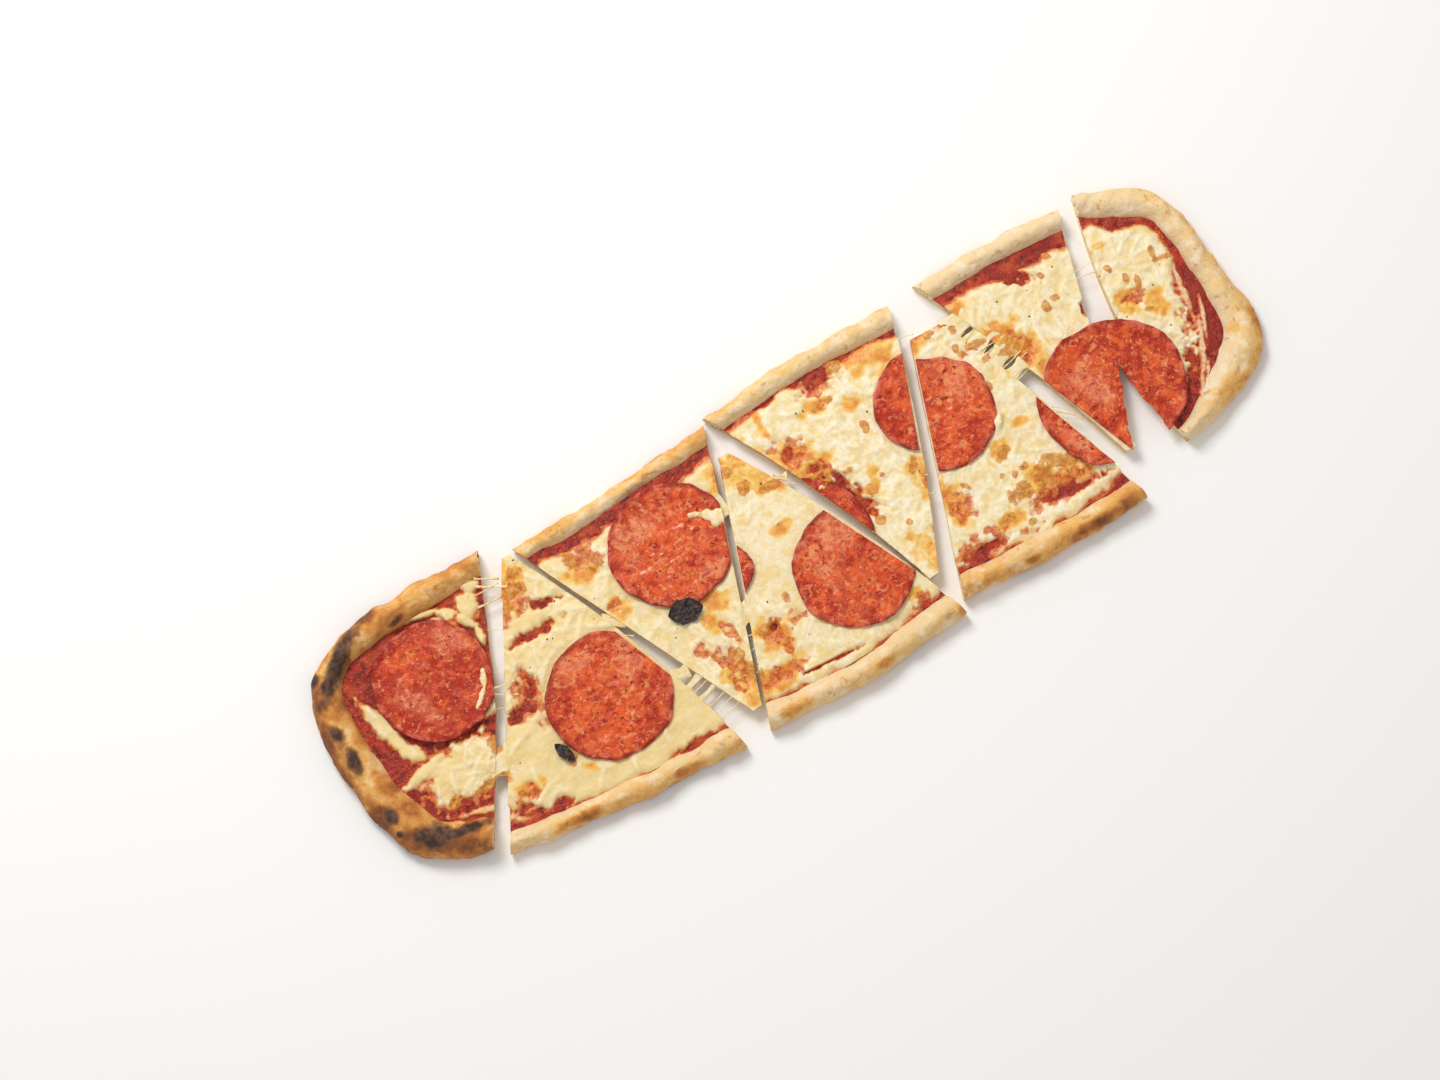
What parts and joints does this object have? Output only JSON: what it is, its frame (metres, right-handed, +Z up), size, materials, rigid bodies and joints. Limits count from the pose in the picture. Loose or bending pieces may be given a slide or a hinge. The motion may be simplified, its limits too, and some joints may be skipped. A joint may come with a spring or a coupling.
{
  "type": "sliced pepperoni pizza",
  "caption": "Long, half-metre style pepperoni pizza with a puffed, browned rim, cut in a zigzag into wedges that lie slightly apart and still keep its shape.",
  "frame": {"origin": "middle of the box's floor: the level underside of the bread", "axes": "+X along the pizza, towards the pale end, +Y across it, +Z up"},
  "size_m": [0.5136, 0.167, 0.0152],
  "materials": {
    "bread": "baked dough, pale and floury with golden and charred spots",
    "sauce": "moist baked tomato sauce",
    "cheese": "melted mozzarella, softly glossy, with golden oil and browned spots",
    "pepperoni": "oily cured sausage with pale fat grains",
    "leaf": "charred basil leaf"
  },
  "bodies": {
    "root": {"leaf_1": "leaf", "leaf_2": "leaf", "pepperoni_1": "pepperoni", "pepperoni_2": "pepperoni", "pepperoni_3": "pepperoni", "pepperoni_3_end": "pepperoni", "pepperoni_4": "pepperoni", "pepperoni_4_end": "pepperoni", "pepperoni_5": "pepperoni", "pepperoni_5_end": "pepperoni", "pepperoni_6": "pepperoni", "pepperoni_6_end": "pepperoni", "slice_1_bread": "bread", "slice_1_cheese": "cheese", "slice_1_sauce": "sauce", "slice_2_bread": "bread", "slice_2_cheese": "cheese", "slice_2_sauce": "sauce", "slice_3_bread": "bread", "slice_3_cheese": "cheese", "slice_3_sauce": "sauce", "slice_4_bread": "bread", "slice_4_cheese": "cheese", "slice_4_sauce": "sauce", "slice_5_bread": "bread", "slice_5_cheese": "cheese", "slice_5_sauce": "sauce", "slice_6_bread": "bread", "slice_6_cheese": "cheese", "slice_6_sauce": "sauce", "slice_7_bread": "bread", "slice_7_cheese": "cheese", "slice_7_sauce": "sauce", "slice_8_bread": "bread", "slice_8_cheese": "cheese", "slice_8_sauce": "sauce"}
  },
  "joints": []
}
